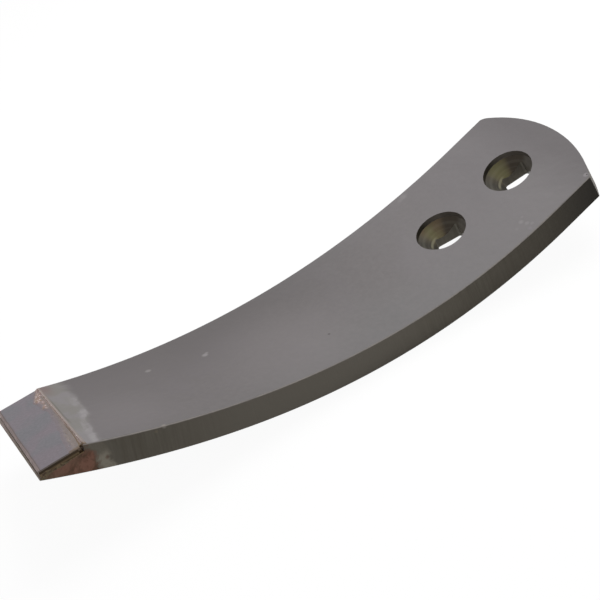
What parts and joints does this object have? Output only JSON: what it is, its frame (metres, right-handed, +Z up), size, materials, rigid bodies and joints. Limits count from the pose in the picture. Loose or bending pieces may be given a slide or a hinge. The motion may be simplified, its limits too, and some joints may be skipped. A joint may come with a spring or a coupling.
{
  "type": "cultivator point",
  "caption": "Bent and twisted flat steel cultivator point with countersunk square-neck bolt holes and a carbide plate brazed across its working end.",
  "frame": {"origin": "under the middle of the part as it lies on its convex back, on the surface that it lies on", "axes": "+X along the bar towards the bolted head, +Y across the bar to its far edge, +Z up"},
  "size_m": [0.2922, 0.084, 0.0429],
  "materials": {
    "steel": "blasted hot-formed steel, dull mid grey, heat-tinted near the brazed joint",
    "carbide": "sintered carbide, smooth bluish grey",
    "braze": "copper-coloured braze, rough, with scale"
  },
  "bodies": {
    "root": {"point_body": "steel", "carbide_plate": "carbide", "braze_seam": "braze"}
  },
  "joints": []
}
